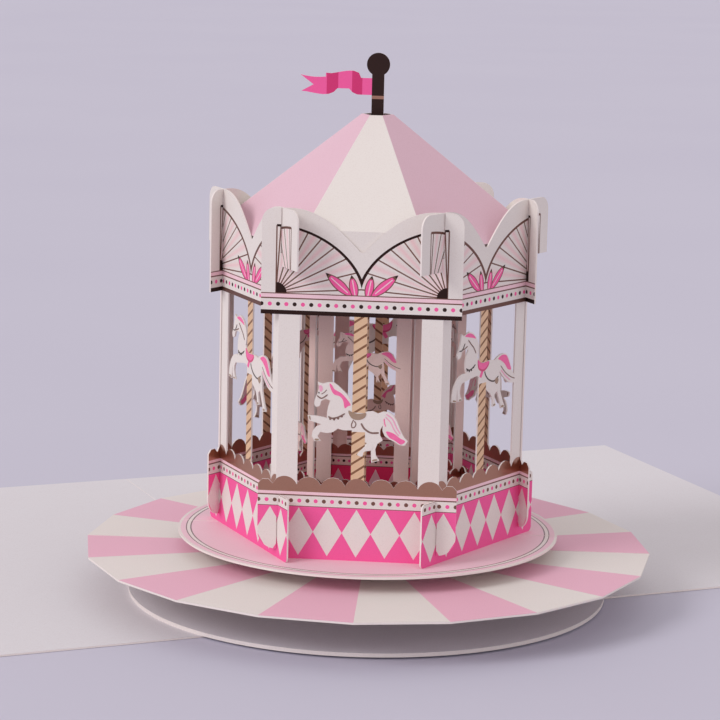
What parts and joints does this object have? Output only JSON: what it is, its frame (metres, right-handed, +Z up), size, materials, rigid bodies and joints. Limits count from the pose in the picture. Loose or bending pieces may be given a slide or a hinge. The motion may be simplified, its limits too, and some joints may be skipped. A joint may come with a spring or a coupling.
{
  "type": "pop up card",
  "caption": "Opened greeting card that carries a paper carousel: a ring of slotted panels with horses, poles and canopies under a folded roof with a flag, on a striped disc.",
  "frame": {"origin": "on the card sheet's underside, straight below the carousel's axis", "axes": "+X along the opened card's long edge, +Y from its front edge to its back edge, +Z up"},
  "size_m": [0.406, 0.2583, 0.1716],
  "materials": {
    "card_white": "smooth white card, a soft score at the fold",
    "base_white": "matt white board",
    "riser_white": "matt white card strip",
    "disc_stripes": "card printed with pale pink and white sectors",
    "plate_pink": "card printed pale pink with a foil line near the rim",
    "panel_print": "card printed in pink and white with gold foil",
    "inner_panel_print": "card printed in pink and white with gold foil",
    "roof_print": "card printed with pale pink and white faces",
    "mast_print": "card printed pink with gold foil",
    "rib_white": "plain white card"
  },
  "bodies": {
    "root": {"card_sheet": "card_white", "round_base": "base_white", "disc_riser": "riser_white", "striped_disc": "disc_stripes", "plate_riser": "riser_white", "floor_plate": "plate_pink", "outer_panel_front": "panel_print", "outer_panel_front_right": "panel_print", "outer_panel_back_right": "panel_print", "outer_panel_back": "panel_print", "outer_panel_back_left": "panel_print", "outer_panel_front_left": "panel_print", "inner_panel_front": "inner_panel_print", "inner_panel_front_right": "inner_panel_print", "inner_panel_back_right": "inner_panel_print", "inner_panel_back": "inner_panel_print", "inner_panel_back_left": "inner_panel_print", "inner_panel_front_left": "inner_panel_print", "roof": "roof_print", "mast": "mast_print", "roof_rib": "rib_white"}
  },
  "joints": []
}
